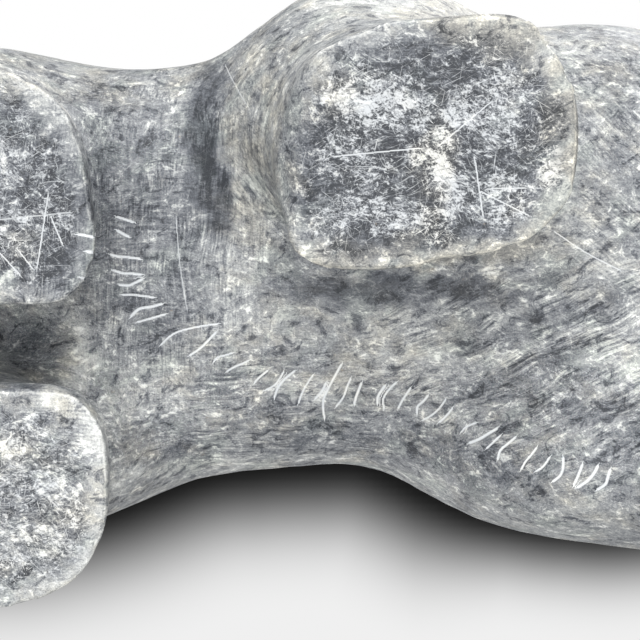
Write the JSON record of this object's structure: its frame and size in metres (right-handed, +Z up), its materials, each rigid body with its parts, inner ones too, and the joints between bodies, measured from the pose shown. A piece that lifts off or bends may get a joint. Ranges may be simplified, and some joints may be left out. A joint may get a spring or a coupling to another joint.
{
  "type": "stone bear sculpture",
  "caption": "Walking bear carved from one block of grey soapstone, standing on four flat soles with its head turned a little to the left.",
  "frame": {"origin": "under the middle of the carving's box, in the plane of its soles", "axes": "+X towards the nose, +Y to the bear's left, +Z up"},
  "size_m": [0.2342, 0.0934, 0.1113],
  "materials": {
    "soapstone": "grey soapstone, rubbed smooth over fine file marks, with white scratches"
  },
  "bodies": {
    "root": {"bear": "soapstone"}
  },
  "joints": []
}
